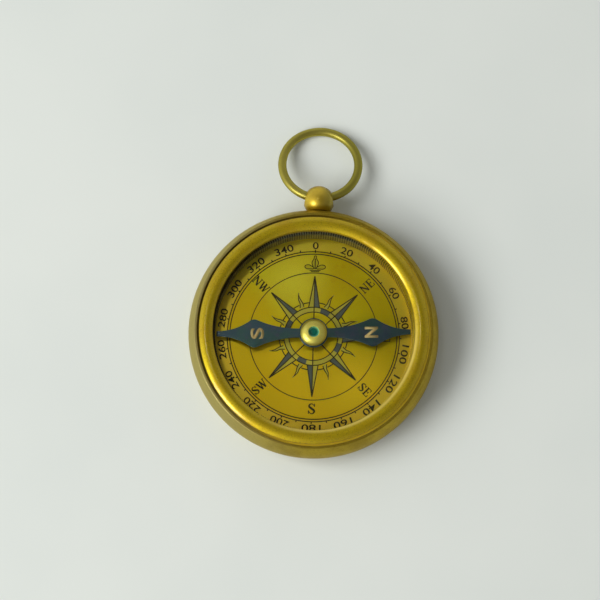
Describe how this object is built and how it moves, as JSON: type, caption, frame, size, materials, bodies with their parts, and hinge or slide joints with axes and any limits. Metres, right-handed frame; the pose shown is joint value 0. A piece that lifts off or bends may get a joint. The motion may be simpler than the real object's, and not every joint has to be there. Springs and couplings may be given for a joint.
{
  "type": "pocket compass",
  "caption": "Open-faced round brass pocket compass with a domed bezel, a blued needle on a jewelled pivot over a rose dial, and a wire ring swinging in a ball.",
  "frame": {"origin": "centre of the flat back of the case, on the needle's axis", "axes": "+Z out of the glass, +Y towards the ball and ring, +X to the right of the dial"},
  "size_m": [0.055, 0.0753, 0.012],
  "materials": {
    "case_brass": "polished brass, lightly aged",
    "dial_brass": "satin lacquered brass with dark print",
    "blued_steel": "blued steel",
    "bright_steel": "bright turned steel",
    "window_glass": "clear flat glass",
    "jewel": "polished green stone",
    "packing": "thin black packing"
  },
  "bodies": {
    "case": {"case_cup": "case_brass", "bezel": "case_brass", "glass": "window_glass", "glass_seal": "packing", "glass_spring_ring": "case_brass", "reeded_ring": "case_brass", "dial": "dial_brass", "dial_seat": "case_brass", "pivot_post": "case_brass", "pivot_pin": "bright_steel", "pivot_washer": "bright_steel", "pivot_nut": "case_brass", "pendant_ball": "case_brass", "ball_screw": "bright_steel", "ball_washer": "bright_steel"},
    "needle_set": {"needle": "blued_steel", "needle_cap": "case_brass", "cap_jewel": "jewel", "cap_collar": "case_brass"},
    "bow": {"bow_ring": "case_brass"}
  },
  "joints": [
    {"name": "needle_swing", "type": "hinge", "parent": "case", "child": "needle_set", "pos_m": [0, 0, 0.00723], "axis": [0, 0, 1], "continuous": true},
    {"name": "ring_swing", "type": "hinge", "parent": "case", "child": "bow", "pos_m": [0, 0.0308, 0.00555], "axis": [1, 0, 0], "range_deg": [-113, 145]}
  ]
}
